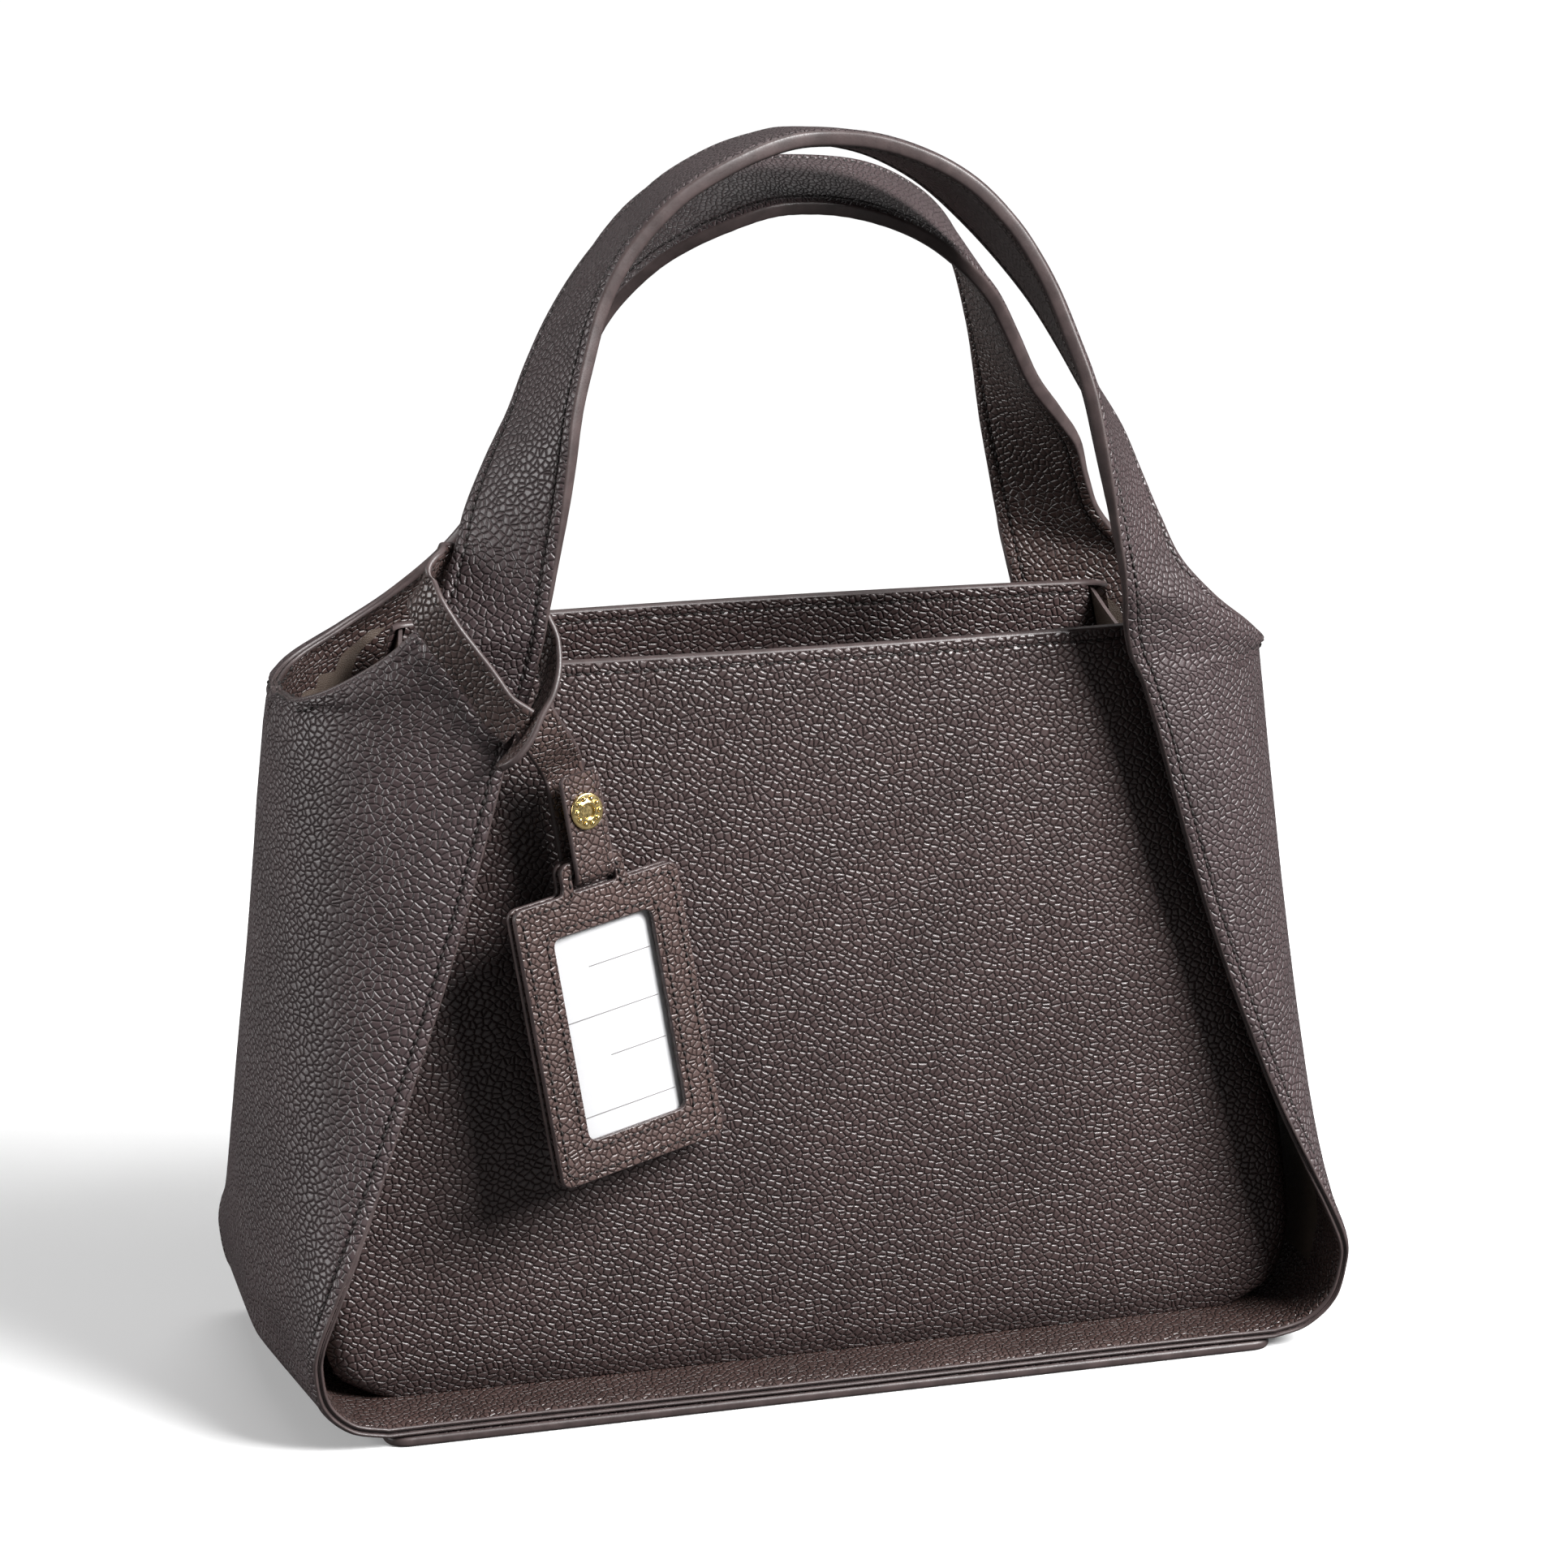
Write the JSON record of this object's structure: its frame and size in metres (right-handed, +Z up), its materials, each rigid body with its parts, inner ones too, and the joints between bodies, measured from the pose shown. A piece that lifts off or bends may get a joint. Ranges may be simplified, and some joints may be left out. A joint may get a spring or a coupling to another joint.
{
  "type": "tote bag",
  "caption": "Small structured leather tote with a wrapped side band that grows into arched handles, a recessed open-topped pouch and a hanging name tag.",
  "frame": {"origin": "middle of the underside of the base panel, on the surface that the bag stands on", "axes": "+Z up, -Y towards the front where the tag hangs, +X towards the right seen from the front"},
  "size_m": [0.335, 0.1398, 0.378],
  "materials": {
    "leather_outer": "pebbled, dark espresso brown",
    "leather_inner": "pebbled, dark brown",
    "lining": "smooth, fine grain, olive brown",
    "board": "matt",
    "filler": "matt",
    "gold": "polished pale gold",
    "film": "clear",
    "paper": "matt white"
  },
  "bodies": {
    "tote": {"wrap_outer_left": "leather_outer", "wrap_outer_right": "leather_outer", "wrap_inner_left": "leather_inner", "wrap_inner_right": "leather_inner", "base_panel": "leather_outer", "base_board": "board", "front_panel": "leather_outer", "back_panel": "leather_outer", "front_lining": "lining", "back_lining": "lining", "front_facing": "leather_inner", "back_facing": "leather_inner", "gusset_left": "lining", "gusset_right": "lining", "strap_loop": "leather_outer"},
    "handle_front": {"handle_front_outer": "leather_outer", "handle_front_core": "filler", "handle_front_inner": "leather_inner"},
    "handle_back": {"handle_back_outer": "leather_outer", "handle_back_core": "filler", "handle_back_inner": "leather_inner"},
    "tag": {"strap_tail": "leather_outer", "snap_stud": "gold", "snap_back": "gold", "tag_front": "leather_outer", "tag_back": "leather_outer", "tag_film": "film"},
    "snap_tongue": {"snap_tongue": "leather_outer", "snap_cap": "gold", "snap_socket": "gold"},
    "tag_card": {"tag_card": "paper"}
  },
  "joints": [
    {"name": "handle_front_tilt", "type": "hinge", "parent": "tote", "child": "handle_front", "pos_m": [0, -0.05775, 0.27341], "axis": [1, 0, 0], "range_deg": [0, 30], "stiffness_Nm_per_rad": 0.1},
    {"name": "handle_back_tilt", "type": "hinge", "parent": "tote", "child": "handle_back", "pos_m": [0, 0.05775, 0.27341], "axis": [-1, 0, 0], "range_deg": [0, 30], "stiffness_Nm_per_rad": 0.1},
    {"name": "tag_swing", "type": "hinge", "parent": "tote", "child": "tag", "pos_m": [-0.0942, -0.0579, 0.2076], "axis": [-1, 0, 0], "range_deg": [0, 35]},
    {"name": "snap_open", "type": "hinge", "parent": "tag", "child": "snap_tongue", "pos_m": [-0.07531, -0.05729, 0.17015], "axis": [0.9399, 0.3201, 0.1191], "range_deg": [0, 60]},
    {"name": "card_slide", "type": "slide", "parent": "tag", "child": "tag_card", "axis": [-0.9399, -0.3201, -0.1191], "range_m": [0, 0.055]}
  ]
}
